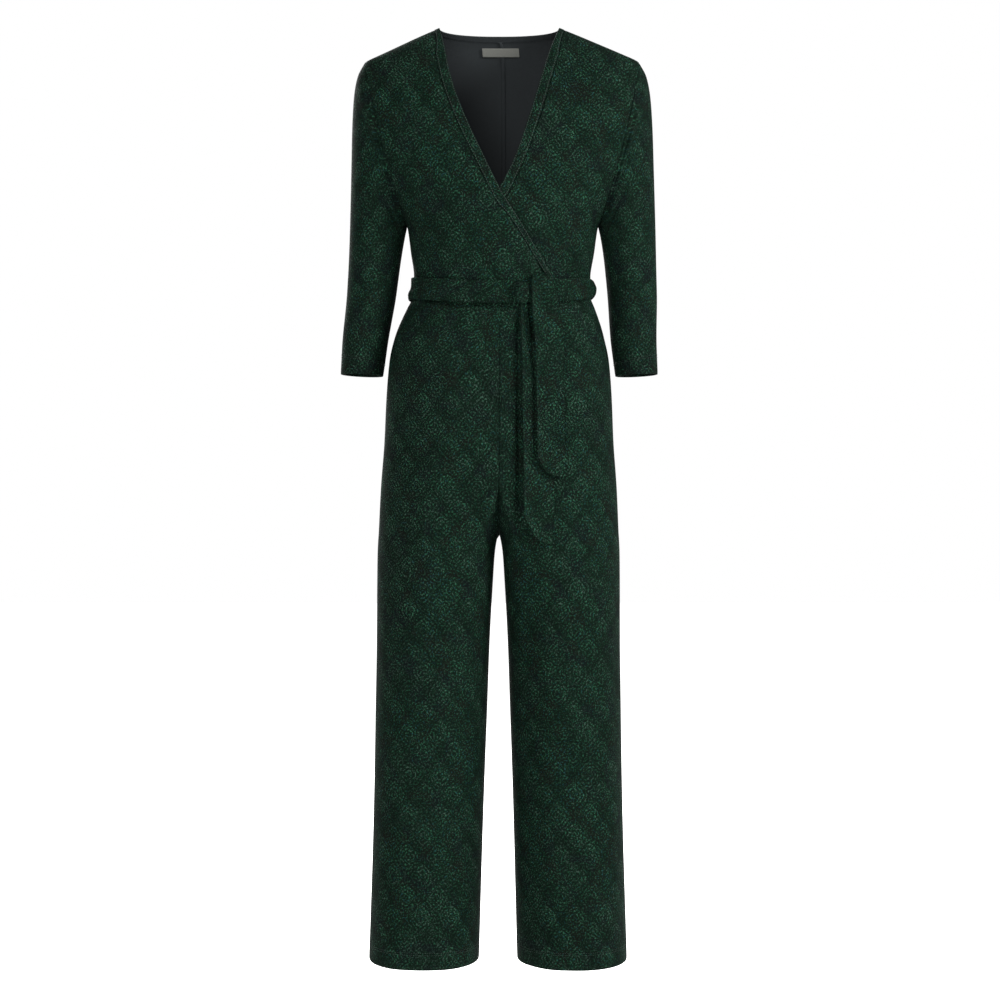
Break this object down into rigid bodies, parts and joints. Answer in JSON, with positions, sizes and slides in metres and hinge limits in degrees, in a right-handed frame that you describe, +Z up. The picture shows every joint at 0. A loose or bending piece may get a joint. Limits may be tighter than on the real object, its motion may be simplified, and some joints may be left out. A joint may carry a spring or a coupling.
{
  "type": "wrap-front jumpsuit",
  "caption": "Wrap-front jersey jumpsuit with three-quarter sleeves, a narrow band round the V neck, straight full-length legs and a self tie belt, filled out as if worn",
  "frame": {"origin": "midway between the two high shoulder points beside the neck, where the wearer's shoulders hold the garment", "axes": "+Z up, the front faces -Y, the wearer's left is +X"},
  "size_m": [0.4777, 0.2373, 1.395],
  "materials": {
    "jersey": "matt dark green knit with a fine glittering thread",
    "inside": "plain matt charcoal back of the knit",
    "label": "plain woven tape"
  },
  "bodies": {
    "root": {"front_bodice_right": "jersey", "front_bodice_left": "jersey", "back_bodice_right": "jersey", "back_bodice_left": "jersey", "neck_band_right": "jersey", "neck_band_left": "jersey", "neck_band_back": "jersey", "sleeve_right": "jersey", "sleeve_left": "jersey", "front_leg_right": "jersey", "front_leg_left": "jersey", "back_leg_right": "jersey", "back_leg_left": "jersey", "belt_waist": "jersey", "belt_knot": "jersey", "belt_tail_over": "jersey", "belt_tail_under": "jersey", "neck_label": "label"}
  },
  "joints": []
}
